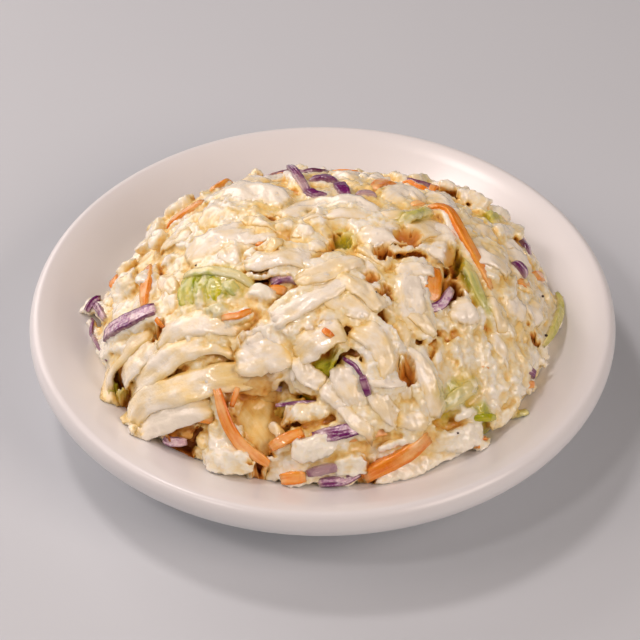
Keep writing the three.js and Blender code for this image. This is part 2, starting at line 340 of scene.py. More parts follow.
purples = [
    cut(2.4, (-8.5, 27, 4.4), (-7, 22, 3.2), (-5, 17, 1.8), (-3, 11.5, 1), thickness=1.2, dark=0.55,
        taper=0.45),
    cut(2.1, (-4, 14.5, 1.6), (-1.5, 11, 1.4), (1.5, 10.5, 1.2), dark=1),
    cut(2.6, (-3, 20, 1.8), (0.5, 20, 2.0), (3.5, 19, 1.6), dark=1),
    cut(2.1, (-4.5, 14.5, 0.9), (-1.5, 10.5, 0.9), (2, 10, 0.9), dark=1),
    cut(3.3, (4, 17, 1.6), (6, 10, 1.2), dark=0.6),
    cut(1.8, (8.5, 9.5, 1.2), (13, 9.5, 1.2), thickness=1.2, dark=1),
    cut(2.1, (-61, 1, 1.4), (-60.5, 3.5, 2.0), (-58, 6, 2.2), (-56, 0, 2.0), (-54.5, -8, 1.4), dark=0.2),
    cut(1.0, (-59.5, -1.5, 1.2), (-57.5, -8.5, 1.2), (-53, -22, 1.2), thickness=1.2, dark=1),
    cut(4.2, (-52.5, -17, 2.6), (-48, -19, 2.6), (-43.5, -21, 2.6), (-40, -21, 2.4), dark=0.1),
    cut(2.5, (-39, -45, -0.6), (-37, -46.5, -0.4), (-34, -48, -0.8), dark=0.3),
    cut(3.6, (-1.5, -52, 2), (3, -51.5, 2.4), (8.5, -50.5, 2.2), thickness=2.4, dark=0.2),
    cut(2.4, (-3, -57, 1.2), (-0.5, -56.5, 1.6), (4, -56, 1.4), thickness=2.2, dark=0.7),
    cut(2.8, (-0.5, -58, 0.5), (5, -57.5, 0.6), (9.5, -56, 0.6), dark=0.0),
    cut(1.1, (5.5, -39, 3.1), (8, -40.5, 3.1), (9.5, -42.5, 3.1), thickness=1.4, dark=1),
    cut(2, (9.5, -42.5, 3.1), (10.5, -45, 3.0), thickness=1.6, dark=0.8),
    cut(2.5, (24, -25.5, 1.2), (28, -23, 1.6), (31, -17.5, 1.4), dark=0.0),
    cut(2.8, (47.5, -0.5, 1.8), (50, -2.5, 1.8), dark=0.5),
    cut(2.2, (50, -26, 0.7), (52, -25.5, 0.7), dark=0.8),
    cut(1.1, (-11, -44.5, -0.4), (-4.5, -44.5, 0.2), (1.5, -45.5, 0.4), thickness=1.2, dark=0.2),
    cut(3.1, (-12, -21.5, 0.8), (-9, -20.5, 0.9), (-4.5, -21.5, 1), dark=0.0),
    cut(1.3, (-12.5, -41.5, -2.2), (-8.5, -42, -2.2), thickness=1.2, dark=0.2),
]
greenSticks = [
    cut(2.6, (61, 7, 1.6), (59.5, -2, 1.3), (57, -11.5, 0.9), (55.5, -16, 0.4), shade=0.2, thickness=1.8,
        taper=0.6, crumple=0.1, ragged=0.3),
]
greens = [
    cut(4.8, (-31.5, -15.5, 1), (-32.5, -20, 0.9), (-32, -24.5, 0.8), shade=0.0, crisp=1.0),
    cut(4.2, (-27, -17.5, 0.9), (-25.5, -22, 0.8), (-26, -26, 0.7), shade=0.15, crisp=0.85),
    cut(2.8, (-33, -14.5, 1.4), (-27, -16.5, 1.4), (-20, -20, 1.2), (-16.5, -23, 0.8), shade=0.75,
        thickness=1.4, crisp=0.5),
    cut(3.4, (-23.5, -20.5, 0.9), (-20.5, -24.5, 0.9), shade=0.35, crisp=0.75),
    cut(1.9, (-27.5, -27.5, 1.4), (-23, -27.5, 1.4), shade=0.6),
    cut(2.7, (19.5, -2, 2.6), (23, 1, 2.6), (26.5, 4.5, 2.4), shade=0.35, thickness=1.4),
    cut(4.2, (4, -6, 0), (6.5, -11, -0.2), shade=0.3),
    cut(3.0, (34, -8, 1), (37.5, -15.5, 0.9), (40.5, -20, 0.8), shade=0.3, crisp=0.6),
    cut(3.9, (28, -43.5, 0.8), (31.5, -40.5, 1), (36.5, -36, 1), shade=0.9, thickness=1.4, crisp=0.5),
    cut(2.1, (36, -42, 1.2), (41, -39.5, 1.2), shade=0.1, thickness=1.4, crisp=0.9),
    cut(2.2, (47, -35.5, 0.4), (50, -35, 0.4), shade=0.2, thickness=1.2),
    cut(4.4, (-4, -40.5, -3.4), (2, -40.5, -3.4), shade=0.0),
    cut(3.2, (-50.5, -30, 0.6), (-48, -31, 0.4), shade=0.2),
    cut(1.6, (-25.5, -29, 1.8), (-23, -28, 1.8), shade=0.7),
]
ribs = [
    cut(6.2, (-27, -52.5, 0.8), (-22.5, -53.5, 1.2), (-17, -55, 0.8), thickness=3.2, twist=30),
    cut(6.2, (27.5, -48.5, 1.0), (32.5, -46.5, 1.4), (37.5, -43, 1.0), thickness=3.2, twist=-28),
    cut(4.5, (-9, -46.5, 1), (-4.5, -47, 1.2), (1, -47, 1), thickness=3.6),
    cut(6.2, (-6, -54, 1.6), (-2.5, -54, 1.9), (1.5, -53, 1.6), thickness=4.4),
    cut(5.1, (4, -56, 1.2), (7, -55.5, 1.4), (10, -55, 1.2), thickness=4),
    cut(4, (12.5, -57, 0.4), (17.5, -55, 0.8), (22.5, -53, 0.8), (27.5, -50.5, 0.4), thickness=3,
        shade=0.9),
    cut(1.9, (13, -53, 1.8), (16.5, -51.5, 2), (22.5, -49.5, 1.8), thickness=2.2),
    cut(3.7, (-16.5, -24, 1), (-11.5, -25.5, 1), thickness=2.6, shade=0.4),
    cut(2.7, (-29, -18, 1.4), (-29, -22.5, 1.4), (-29, -26, 1.2), thickness=2.2, shade=0.1),
    cut(2.2, (31.5, -44, 1.6), (36, -40.5, 1.6), thickness=1.8),
]

# the folds and torn leaves of cabbage that stand out on the heap
cabbageFolds = [
    cut(7.9, (8.5, -8.5, 2), (18.5, -5, 2.2), (24, -2, 2.2), (29, 2, 1.5)),
    cut(6.9, (28.5, 1, 1.8), (28.5, -6, 2), (27, -10, 2.2)),
    cut(4.2, (9, -11, 1.5), (13, -13, 1.5), (16, -16.5, 1.6)),
    cut(3.7, (26.5, -15, 2.2), (22.5, -16, 2), (17.5, -17, 2)),
    cut(7.8, (19.5, -17, 1.8), (19.5, -23.5, 2), (20.5, -29.5, 1.6)),
    cut(4.1, (20.5, -27.5, 1.8), (23.5, -29, 2.2), (26, -30, 2.6)),
    cut(3.5, (9, -14.5, 1.8), (11.5, -20, 1.8), (15, -23.5, 1.2), (16.5, -28.5, 0.8)),
    cut(5.8, (-18, -17, 2.8), (-13.5, -16.5, 2.4), (-9, -15.5, 2.4), (-2, -17, 1.6)),
    cut(2.8, (-13.5, -14.5, 2.2), (-10, -11, 2.8)),
    cut(3.4, (-7, -7.5, 1.5), (-2.5, -6.5, 1.5)),
    cut(3.7, (-4, -11.5, 1.4), (0.5, -12, 1.4)),
    cut(2.7, (-0.5, -4, 1.5), (2, -10, 1.5)),
    cut(5.5, (-10, 0.5, 1.6), (-4, 6.5, 1.8), (1.5, 6.5, 1.8), (8, 3.5, 1.8), (14, 1, 1.4)),
    cut(3.6, (-7.5, -2.5, 0.8), (1, -0.5, 1), (10, 0, 1), (16, -2.5, 1)),
    cut(3.3, (13, -1.5, 1.5), (19, 0.5, 1.8), (24.5, 4.5, 1.6)),
    cut(8.9, (-25.5, 17.5, 1.8), (-18.5, 11.5, 2.2), (-9.5, 6.5, 2.4)),
    cut(11, (-30, 2, 0.8), (-25.5, 4, 1), (-20.5, 7, 1)),
    cut(3, (-20.5, 2, 1.6), (-15.5, -2.5, 1.8), (-11, -5, 1.8)),
    cut(5.4, (-25, -6, 1.4), (-20.5, -6, 1.6), (-16, -7.5, 1.4), (-12, -5.5, 1.2)),
    cut(5.3, (-22, -8.5, 1.2), (-22.5, -16.5, 1.2)),
    cut(5.3, (-6, -22.5, 2.8), (1, -20, 2.6), (8.5, -15.5, 2.2)),
    cut(5, (-11.5, -31, 3.4), (-5.5, -28.5, 3.2), (1.5, -25.5, 2.8), (9, -20, 2.2)),
    cut(5.5, (2.5, -21, 2.6), (8.5, -24.5, 2.8), (13.5, -29, 3.2)),
    cut(5.3, (-1.5, -24.5, 2.4), (4.5, -28.5, 2.8), (11, -31, 2.4)),
    cut(2.8, (-9.5, -32, 3), (-6.5, -33, 3), (-1.5, -30.5, 2.6)),
    cut(7.0, (-6, -36.5, 3.2), (-1.5, -35, 3.8), (5, -34, 3.4), thickness=1.5),
    cut(4.4, (-5, -37, 3), (-4, -39.5, 2.8), (1, -42, 2.4)),
    cut(4.8, (1, -42, 2.4), (4, -45, 2.2), (6.5, -47, 2)),
    cut(5.8, (7.5, -34, 2.4), (12.5, -36, 2.6), (15, -39.5, 2.4), (15.5, -43.5, 2.2)),
    cut(5.6, (4.5, -40, 2.6), (6.5, -43.5, 2.4), (8.5, -47, 2.2)),
    cut(2, (10.5, -43.5, 3), (15.5, -43, 3), (19.5, -41.5, 2.4)),
    cut(4.2, (18.5, -30, 1.4), (18, -34.5, 1.2), (17.5, -37.5, 1.2)),
    cut(5.2, (17.5, -38, 1), (19.5, -41.5, 1.4), (20.5, -44.5, 1.4)),
    cut(4.6, (-40, -30, 1.8), (-34.5, -28.5, 2), (-29, -29, 2.2), (-23, -30.5, 2.2), (-17.5, -31.5, 1.6)),
    cut(3.8, (-42.5, -24, 1), (-48, -24.5, 1.6), (-52.5, -25, 1.8), (-53.5, -28, 1.4), (-52.5, -31, 0.8)),
    cut(5.7, (-41, -27.5, 0.8), (-45, -28.5, 1.2), (-49.5, -29, 1.6)),
    cut(4.7, (-46, -33.5, 2.4), (-40.5, -34.5, 2.4), (-37, -33.5, 2.4), (-31.5, -33, 2.2),
        (-24.5, -33.5, 2), (-19.5, -35.5, 1.8)),
    cut(4.6, (-47.5, -40, 2.6), (-45, -37, 3.0), (-40, -39, 3.2), (-33.5, -40.5, 3), (-27.5, -40.5, 2.8),
        (-21.5, -40, 2.6), (-14, -39, 2.4)),
    cut(4.4, (-46.5, -41, 2.2), (-42.5, -41.5, 2.4), (-37, -43.5, 2.6), (-31.5, -44, 2.6),
        (-26.5, -44.5, 2.2)),
    cut(8, (-20.5, -37.5, 2.6), (-13.5, -36, 3), (-7, -36, 2.4)),
    cut(5.3, (-16, -32, 2.2), (-12.5, -34, 2.6)),
    cut(2.2, (-7, -38, 2.6), (-6, -40.5, 2.2), (-5, -42.5, 1.8)),
    cut(8.4, (-21, -40, -2.2), (-14, -40.5, -2.4), (-7, -41, -2.6)),
    cut(10.5, (-20, -43, -1.9), (-15.5, -47, -2.0), (-11.5, -53, -1.8)),
    cut(2.3, (-12.5, -48, 0), (-10, -50.5, 0), (-9.5, -54.5, -0.5)),
    cut(2.8, (-30, -49, 0), (-26.5, -50.5, 0.5)),
    cut(4, (19, -36.5, 2.4), (22.5, -39, 2.8), (24.5, -42.5, 2.8), (26, -45.5, 2.6)),
    cut(4.4, (11.5, -44, 2.2), (14, -47, 2.2), (18.5, -48.5, 2)),
    cut(4, (16, -48, 2), (20.5, -47.5, 2.2), (24.5, -46.5, 2.4)),
    cut(3.1, (4.5, -46.5, 2.4), (8, -50, 2.4), (12, -51, 2.2)),
    cut(6.6, (31, -22.5, 1.8), (36, -21, 2), thickness=2.6),
    cut(2.9, (39.5, -15.5, 1.6), (41.5, -18.5, 2), (43.5, -22, 1.8)),
    cut(6.5, (45.5, -12.5, 0.8), (48.5, -16, 0.8)),
    cut(6.5, (50.5, -10, 1), (54.5, -10.5, 0.8)),
    cut(6.1, (46, -18.5, 0.5), (48.5, -22, 0.5)),
    cut(5.4, (40.5, -23, 0.8), (45, -26, 0.8), (47.5, -28.5, 0.6)),
    cut(3.9, (41, -37, 0.8), (45, -37, 0.4)),
    cut(9.5, (-26.5, 0.5, 1.2), (-23.5, 6.5, 1.4), (-20.5, 10, 1.4)),
    cut(8, (-32.5, -9.5, 2.2), (-27.5, -7.5, 2.4), (-22.5, -6, 2.2), (-18, -4, 1.6)),
    cut(6.5, (-23.5, -14.5, 1.8), (-19.5, -12, 1.6)),
    cut(8.5, (-39.5, 7, 1.4), (-32.5, 4.5, 1.6)),
    cut(7, (-44, 14, 1), (-38, 20, 1.2)),
    cut(7, (-51, 2.5, 0.8), (-47, 6, 1), (-42.5, 7.5, 1)),
    cut(3.5, (-55, 6, 1.4), (-53, -4, 1)),
    cut(5, (-30, 24, 1.2), (-24, 28, 1.2)),
    cut(6, (-22, 24, 1.2), (-14, 22, 1.4)),
    cut(6.5, (-34.5, 16, 0.8), (-30, 20, 1)),
    cut(5.5, (-16, 27, 1.2), (-9, 27, 1.4)),
    cut(5, (-39.5, -8, 0.8), (-35.5, -18, 0.8)),
    cut(5, (2, 24, 1.4), (10, 23, 1.8)),
    cut(4.5, (12, 25, 2.2), (16, 22, 1.8)),
    cut(4.7, (8, 21, 0.8), (11.5, 12.5, 0.8)),
    cut(6.6, (16.5, 7.5, 1.8), (21.5, 14.5, 2), (25.5, 11, 1.6)),
    cut(7, (27, 13, 1.8), (34, 15, 1.8)),
    cut(7, (29, 8, 1.2), (35, 7.5, 1.2)),
    cut(5.5, (43.5, 12.5, 1), (48, 12, 1)),
    cut(5, (45.5, 8, 0.8), (51, 8, 0.8)),
    cut(7, (39, 9.5, 0.8), (41, 3.5, 0.8)),
    cut(8, (37, -4.5, 1.8), (42.5, -4, 2), (45.5, -4.5, 1.8)),
    cut(6, (46.5, 3, 0.8), (53, 3, 0.8)),
    cut(5.1, (47.5, -5.5, 1), (52, -4, 0.8)),
]
pits = [  # x, y, radius, depth: where gaps between the pieces go deep
    (20.5, -7, 3.1, 4), (14.5, -13, 2.3, 4), (11.5, -21, 2, 3), (15, -24.5, 1.9, 4), (20, -41.5, 2.2, 4),
    (-1, -39.5, 4, 4), (-17, -42, 6.5, 2.4), (-13, -48.5, 5, 2.4), (-34, -44.5, 4.5, 4),
    (-48.5, -29.5, 2.4, 6), (-15.5, -54.5, 1.8, 4), (11.5, -56, 1.9, 3), (30, -17, 3.9, 5),
    (4.5, -8.5, 2.4, 2), (-14.5, -16.5, 3.5, 2), (52, -17, 1.2, 2), (32, -9, 2.4, 3),
    (-40, -26.5, 1.5, 2), (36, 24, 2.5, 3), (-30, 33, 2.5, 3), (5, 40, 2.5, 3),
]
greenStains = [  # x, y, half length, half width, turn, strength: leaf green showing through the dressing
    (-31.5, -20, 3.2, 5.5, 0, 0.95), (-27.5, -20.5, 3.4, 4.5, 10, 0.8), (-23, -23.5, 3.5, 2.2, -20, 0.7),
    (-26.5, -16, 6, 1.6, -14, 0.5), (22.5, 1, 5, 1.7, 40, 0.75), (37, -14, 8, 1.9, -62, 0.75),
    (32.5, -40, 6.5, 2.4, 42, 0.6), (38.5, -41, 3.4, 1.3, 20, 0.7), (5.5, -8.5, 2.6, 2.4, -60, 0.7),
    (44, 20, 6, 2.2, 50, 0.6), (-12, 44, 5, 2.4, 10, 0.6), (22, 47, 6, 2.0, -30, 0.55),
    (-46, 30, 5, 2.0, 35, 0.5),
]
deepGreens = [
    (-0.5, -41.5, 5, 2.2, 0, 0.85), (-51, -29.5, 2.2, 1.6, 0, 0.7), (-10.5, -44, 5, 1.3, 5, 0.3),
]
mass = {
    "coreDepth": 1.7, "voxel": 0.38, "triangles": 197000,
    "under": {"count": 300, "lift": (-1.4, -0.2), "roll": 10, "length": (10, 22), "width": (4, 11)},
    "outer": {"count": 320, "lift": (0.0, 1.6), "length": (11, 24), "width": (4.5, 11), "clear": 4.3},
    "bits": {"count": 420, "lift": (-0.4, 0.9), "length": (2, 6), "width": (1.8, 4.4), "clear": 3.4},
    "chopped": {"count": 90, "x": (27, 50), "y": (-42, -18), "lift": (-0.3, 1.0), "length": (2, 6),
                "width": (1.8, 4.4), "clear": 0},
    "fill": 3, "fillStrength": 0.6, "crestStrength": 0.04, "lumps": 0.3,
    "lumpWaves": ((1, 0.55), (0.9, 1.1), (0.4, 2.1)),
}
foldRules = {
    "bandTo": (-12, -22), "bandWider": 1.65, "bandLower": 1.1,  # long folds at the near left, close together
    "wider": 1.15, "lower": 0.5, "leafFrom": 4.2, "ridgeFrom": 5,
    "raised": 1.45, "clusterX": (-21, 30), "clusterTo": -7, "rightFrom": 29,
}
for number, fold in enumerate(cabbageFolds):
    path = np.array(fold["path"], float)
    low, high = path.min(axis=0), path.max(axis=0)
    banded = high[0] < foldRules["bandTo"][0] and high[1] < foldRules["bandTo"][1]
    wide = fold["width"] = fold["width"] * foldRules["bandWider" if banded else "wider"]
    inCluster = foldRules["clusterX"][0] < low[0] and high[0] < foldRules["clusterX"][1]
    inCluster = inCluster and high[1] < foldRules["clusterTo"] and low[2] > 0
    raised = inCluster or low[0] > foldRules["rightFrom"]
    fold["path"] = path * (1, 1, foldRules["raised"] if raised else 1)
    fold["path"] = fold["path"] - (0, 0, foldRules["bandLower" if banded else "lower"])
    fold.update({
        "kind": "leaf" if wide > foldRules["leafFrom"] else "strip", "seed": number * 1.7, "sink": 1.3,
        "taper": 0.2, "crumple": 0.65, "curl": -0.06 * wide, "ragged": 0.35, "thinEdge": 0.45,
        "thickness": fold.get("thickness", 1.2 + 0.2 * math.sin(number)),
        "ruffle": 0.25 + 0.15 * math.sin(2.3 * number), "tint": 0.5 + 0.5 * math.sin(4.1 * number),
        "ridge": 0.12 if wide > foldRules["ridgeFrom"] else 0.04, "shingle": 11 + 5 * math.sin(1.3 * number)})


def scattered(count, top=0.98, goldenAngle=137.508):  # spread over the whole heap, a little unevenly
    index = np.arange(count)
    angle = np.radians(index * goldenAngle) + draw.normal(0, 0.12, count)
    share = np.sqrt(1 - (1 - (index + 0.5) / count) ** 1.5) * top + draw.normal(0, 0.012, count)
    radius = np.clip(share, 0.01, top) * heapEdge(angle)
    return np.column_stack([radius * np.cos(angle), radius * np.sin(angle)])


def polar(radius, angle):
    return np.array([radius * math.cos(angle), radius * math.sin(angle)])


def randomPath(middle, length, lift, turn=0.5):
    normal = heapNormal(middle[:1], middle[1:])[0]
    steep, downhill = float(normal[2]), unit(normal[:2])
    heading = draw.uniform(0, math.tau)
    corners = [np.zeros(2)]
    for _ in range(3):
        direction = polar(1, heading)
        along = float(direction @ downhill)
        reach = length / 3 / math.sqrt(1 + along ** 2 * max(1 / steep ** 2 - 1, 0))
        corners.append(corners[-1] + direction * reach)
        heading += draw.normal(0, turn)
    corners = np.array(corners) - np.mean(corners, axis=0) + middle
    edge = 0.99 * heapEdge(np.arctan2(corners[:, 1], corners[:, 0]))
    corners = corners * np.minimum(edge / np.maximum(np.hypot(*corners.T), tiny), 1)[:, None]
    return np.column_stack([corners, draw.uniform(*lift) + draw.normal(0, 0.3, 4)])


def nearestTo(places, point):
    return np.hypot(places[:, 0] - point[0], places[:, 1] - point[1]).min()


def pitDip(x, y):
    return sum((deep + 1.2) * np.exp(-(((x - px) ** 2 + (y - py) ** 2) / (1.2 * wide) ** 2) ** 1.5)
               for px, py, wide, deep in pits)


# the far side, more thinly strewn
farSide = {"carrots": 15, "purples": 9, "angles": (12, 176), "reach": (0.42, 0.93), "length": (5, 15),
           "lift": (0.7, 1.5), "turn": 0.3, "width": (1.8, 3.4), "shade": (0.1, 0.8), "taper": 0.4}
for pieces, count in ((carrots, farSide["carrots"]), (purples, farSide["purples"])):
    for _ in range(count):
        angle = math.radians(draw.uniform(*farSide["angles"]))
        radius = float(heapEdge(angle)) * math.sqrt(draw.uniform(*farSide["reach"]))
        length = draw.uniform(*farSide["length"])
        path = randomPath(polar(radius, angle), length, farSide["lift"], farSide["turn"])
        pieces.append(cut(draw.uniform(*farSide["width"]), *path, shade=draw.uniform(*farSide["shade"]),
                          dark=draw.uniform(0, 1), taper=farSide["taper"]))
standing = cabbageFolds + carrots + purples + greenSticks + greens + ribs
taken = np.vstack([alongPath(piece["path"], np.linspace(0, 1, 9)) for piece in standing]
                  + [[(x, y, 0) for x, y, _, _ in pits]])
randomLeaves, buried = [], []
under, outer, chopped = mass["under"], mass["outer"], mass["chopped"]
for middle in scattered(under["count"]):
    width = draw.uniform(*under["width"])
    buried.append({
        "path": randomPath(middle, draw.uniform(*under["length"]), under["lift"]), "width": width,
        "kind": "leaf" if width > 5 else "strip", "thickness": draw.uniform(1.5, 2.4),
        "roll": draw.uniform(-1, 1) * under["roll"], "twist": draw.normal(0, 16),
        "curl": draw.normal(-0.2, 0.3), "seed": draw.uniform(0, 20),
        "crumple": 0.5, "ruffle": 0.25, "ragged": 0.7})
for middle in scattered(outer["count"]):
    width, length, seed = draw.uniform(*outer["width"]), draw.uniform(*outer["length"]), draw.uniform(0, 20)
    path = randomPath(middle, length, outer["lift"])
    clear = min(nearestTo(taken, point) for point in alongPath(path, np.array([0.1, 0.5, 0.9])))
    if clear < outer["clear"]:
        continue
    randomLeaves.append({
        "path": path, "width": width, "kind": "leaf", "seed": seed, "thickness": draw.uniform(1.1, 1.8),
        "curl": -0.05 * width + draw.normal(0, 0.25), "ruffle": draw.uniform(0.1, 0.4),
        "ragged": draw.uniform(0.25, 0.5), "shingle": draw.uniform(6, 20), "twist": draw.normal(0, 14),
        "sink": 1.3, "taper": 0.25, "crumple": 0.75, "ridge": 0.1 if width > 5 else 0.0, "thinEdge": 0.45})
    taken = np.vstack([taken, alongPath(path, np.linspace(0, 1, 9))])
low, high = zip(chopped["x"], chopped["y"])
choppedAt = draw.uniform(low, high, (chopped["count"], 2))
for bits, middles in ((mass["bits"], scattered(mass["bits"]["count"])), (chopped, choppedAt)):
    for middle in middles:
        if nearestTo(taken, middle) < bits["clear"]:
            continue
        buried.append({
            "path": randomPath(middle, draw.uniform(*bits["length"]), bits["lift"]), "kind": "chunk",
            "width": draw.uniform(*bits["width"]), "thickness": draw.uniform(0.8, 1.8),
            "roll": draw.uniform(-40, 40), "seed": draw.uniform(0, 20),
            "sink": 0.3, "crumple": 0.4, "ragged": 0.6})

# lumps that break the skyline
skyline = {"from": 14, "to": 190, "count": 40, "share": (0.55, 0.97), "lift": (0.6, 2.4), "length": (4, 9)}
for angle in np.radians(np.linspace(skyline["from"], skyline["to"], skyline["count"])):
    radius = float(heapEdge(angle)) * math.sqrt(draw.uniform(*skyline["share"]))
    buried.append({
        "path": randomPath(polar(radius, angle), draw.uniform(*skyline["length"]), skyline["lift"]),
        "width": draw.uniform(3, 6), "kind": "chunk", "thickness": draw.uniform(2, 3.6),
        "roll": draw.uniform(-40, 40), "seed": draw.uniform(0, 20),
        "sink": 0.3, "taper": 0.25, "crumple": 0.7, "ragged": 0.8})

bed = {"highest": 3.2, "sunk": 0.15, "lower": 1.1, "wider": 1.8}


def bedOf(piece):  # dressing and cabbage that a coloured piece lies in
    path = np.array(piece["path"], float)
    thick = piece.get("thickness", plainPiece["thickness"])
    path[:, 2] = np.minimum(path[:, 2], bed["highest"]) - bed["sunk"] * thick - bed["lower"]
    return {"path": path, "width": piece["width"] + bed["wider"], "thickness": 2.2, "kind": "strip",
            "sink": 0.6, "taper": 0.15, "ragged": 0.8, "crumple": 0.4, "seed": float(path[0, 0])}


def coreDome(depth, rings=26, steps=96):
    bm = bmesh.new()
    middle, rim = bm.verts.new((0, 0, 1)), bm.verts.new((1, 0, 1))
    foot, bottom = bm.verts.new((1, 0, 0)), bm.verts.new((0, 0, 0))
    top = bm.edges.new((middle, rim))
    edges = [top, bm.edges.new((rim, foot)), bm.edges.new((foot, bottom))]
    edges += bmesh.ops.subdivide_edges(bm, edges=[top], cuts=rings)["geom"]
    outline = list(bm.verts) + list({e for e in edges if isinstance(e, bmesh.types.BMEdge)})
    bmesh.ops.spin(bm, geom=outline, axis=(0, 0, 1), angle=math.tau, steps=steps, use_merge=True)
    bmesh.ops.remove_doubles(bm, verts=bm.verts, dist=1e-5)
    bmesh.ops.triangulate(bm, faces=bm.faces)
    bmesh.ops.recalc_face_normals(bm, faces=bm.faces)
    points, faces = arraysOf(bm)
    angle = np.arctan2(points[:, 1], points[:, 0])
    radius = np.sin(np.hypot(points[:, 0], points[:, 1]) * math.pi / 2) * (heapEdge(angle) - depth)
    x, y = radius * np.cos(angle), radius * np.sin(angle)
    top = np.maximum(heapHeight(x, y) - depth - pitDip(x, y), wellHeight(radius) + 1)
    return np.column_stack([x, y, np.where(points[:, 2] > 0.5, top, wellHeight(radius) + 0.1)]), faces


core = coreDome(mass["coreDepth"])
parts, grains, tints, greenness = [core], [core[0]], [0.6], [0.0]


def addToMass(piece, tint, green=0.0):
    parts.append(bend(shapes[piece["kind"]], piece))
    grains.append(grainOf(shapes[piece["kind"]], piece))
    tints.append(tint)
    greenness.append(green)


for piece in buried:
    path = piece["path"]
    path[:, 2] -= pitDip(path[:, 0], path[:, 1])
    addToMass(piece, draw.uniform(0, 1))
twin = {"lower": 0.3, "narrower": 0.93}
for leaf in cabbageFolds + randomLeaves:  # a smaller twin inside the mass carries each outer leaf
    leaf.setdefault("tint", draw.uniform(0, 1))
    path = np.array(leaf["path"], float) - (0, 0, twin["lower"])
    addToMass({**leaf, "path": path, "width": leaf["width"] * twin["narrower"]}, leaf["tint"])
foldBed = {"lower": 1.3, "wider": 1.2, "margin": 2.5, "within": 0.93}
for fold in cabbageFolds:
    path = np.array(fold["path"], float) - (0, 0, foldBed["lower"])
    edge = foldBed["within"] * heapEdge(np.arctan2(path[:, 1], path[:, 0]))
    if (np.hypot(path[:, 0], path[:, 1]) > edge).any():
        continue
    wide = fold["width"] * foldBed["wider"] + foldBed["margin"]
    addToMass({**fold, "path": path, "width": wide, "thickness": 2.2, "shingle": 0, "curl": 0}, 0.7)
for piece in carrots + purples + greenSticks:
    addToMass(bedOf(piece), 0.4)
for piece in greens:
    leafy = {"kind": "strip", "sink": 1.2, "taper": 0.2, "ragged": 0.3, "crumple": 0.4, **piece}
    addToMass({**leafy, "width": piece["width"] * 1.15}, 0.5, 1 - 0.6 * piece["shade"])
for piece in ribs:
    ribbed = {"kind": "strip", "sink": 0.8, "taper": 0.22, "crumple": 0.9, "ragged": 0.7, **piece}
    addToMass(ribbed, 0.1, 0.12 * piece.get("shade", 0))
sourcePoints, sourceFaces = joined(parts)
cabbage = meshObject("dressedSlaw", keepAboveWell(sourcePoints, 0.15), sourceFaces)
print("mass:", len(parts), "pieces,", len(sourceFaces), "triangles")
applied(cabbage, "REMESH", mode="VOXEL", voxel_size=mass["voxel"] * mm, adaptivity=0.0)
outerShell(cabbage)
print("remeshed:", len(cabbage.data.polygons), "faces")


def swayed(places, size):
    return noiseSum(places, (1, 0.4), (0.5, 1.1)) * size


def insidePit(places, x, y, wide, sway):
    return np.exp(-(np.maximum(np.hypot(places[:, 0] - x, places[:, 1] - y) + sway, 0) / wide) ** 6)


def dipped(places, pits, share=1.0):
    sway = swayed(places, 1.6)
    down = share * sum((deep + 1.5) * insidePit(places, x, y, wide, sway) for x, y, wide, deep in pits)
    outside = places[:, 2] > heapHeight(places[:, 0], places[:, 1]) - 6
    return places - np.array([0, 0, 1]) * (down * outside)[:, None]


# dressing gathers in the creases: hollow places move out, crests hardly
places, pairs = placesOf(cabbage.data), edgePairs(cabbage.data)
places = relaxed(places, pairs, 1)
for _ in range(mass["fill"]):
    movedTo(cabbage.data, places)
    normals = normalsOf(cabbage.data)
    for _ in range(4):
        toward = ((relaxed(places, pairs, 1, 1.0) - places) * normals).sum(1)
        strength = np.where(toward > 0, mass["fillStrength"], mass["crestStrength"])
        places = places + normals * (strength * toward)[:, None]
movedTo(cabbage.data, dipped(places, pits))
places = placesOf(cabbage.data)
places = places + normalsOf(cabbage.data) * (noiseSum(places, *mass["lumpWaves"]) * mass["lumps"])[:, None]
movedTo(cabbage.data, keepAboveWell(places, 0.12))
applied(cabbage, "TRIANGULATE")
applied(cabbage, "DECIMATE", ratio=min(1.0, mass["triangles"] / len(cabbage.data.polygons)))
cabbage.data.polygons.foreach_set("use_smooth", [True] * len(cabbage.data.polygons))
places, pairs, normals = placesOf(cabbage.data), edgePairs(cabbage.data), normalsOf(cabbage.data)
massFaces = readArray(cabbage.data.polygons, "vertices", 3, np.int64)
massTree = BVHTree.FromPolygons([Vector(p) for p in places], massFaces.tolist())


# how closed in each point is, from short rays over the outer half space; the material paints shade from it
def shelterAt(mesh, reach=7.0, rays=9, turn=2.39996, start=0.08):
    places, normals = placesOf(mesh), normalsOf(mesh)
    spiral = np.arange(rays) + 0.5
    found = np.zeros(len(places))
    side = unit(np.cross(normals, np.where(np.abs(normals[:, :1]) < 0.8, [[1.0, 0, 0]], [[0, 1.0, 0]])))
    other = np.cross(normals, side)
    for z, angle in zip(np.sqrt(1 - spiral / rays * 0.92), spiral * turn):
        flat = math.sqrt(1 - z * z)
        aims = normals * z + side * (flat * math.cos(angle)) + other * (flat * math.sin(angle))
        for index, (place, aim) in enumerate(zip(places + normals * start, aims)):
            hit = massTree.ray_cast(place, aim, reach)[3]
            if hit is not None:
                found[index] += (1 - hit / reach) / rays
    return found


def greenAt(places, stains):
    found, sway = np.zeros(len(places)), swayed(places, 0.7)
    for x, y, long, wide, turn, strength in stains:
        along, across = places[:, 0] - x, places[:, 1] - y
        c, s = math.cos(math.radians(turn)), math.sin(math.radians(turn))
        reach = np.hypot((along * c + across * s) / long, (across * c - along * s) / wide) + sway * 0.6
        found = np.maximum(found, strength * np.clip(1.6 - 1.2 * reach, 0, 1))
    return found


# painted shade and glow in the gaps: the material paints them dark amber
def pitShadeAt(places, pits):  # how far inside a gap between the pieces
    sway = swayed(places, 1.6)
    return np.max([insidePit(places, x, y, 1.1 * wide, sway) * min(1, deep / 4) * min(1, 3 / wide)
                   for x, y, wide, deep in pits], axis=0)
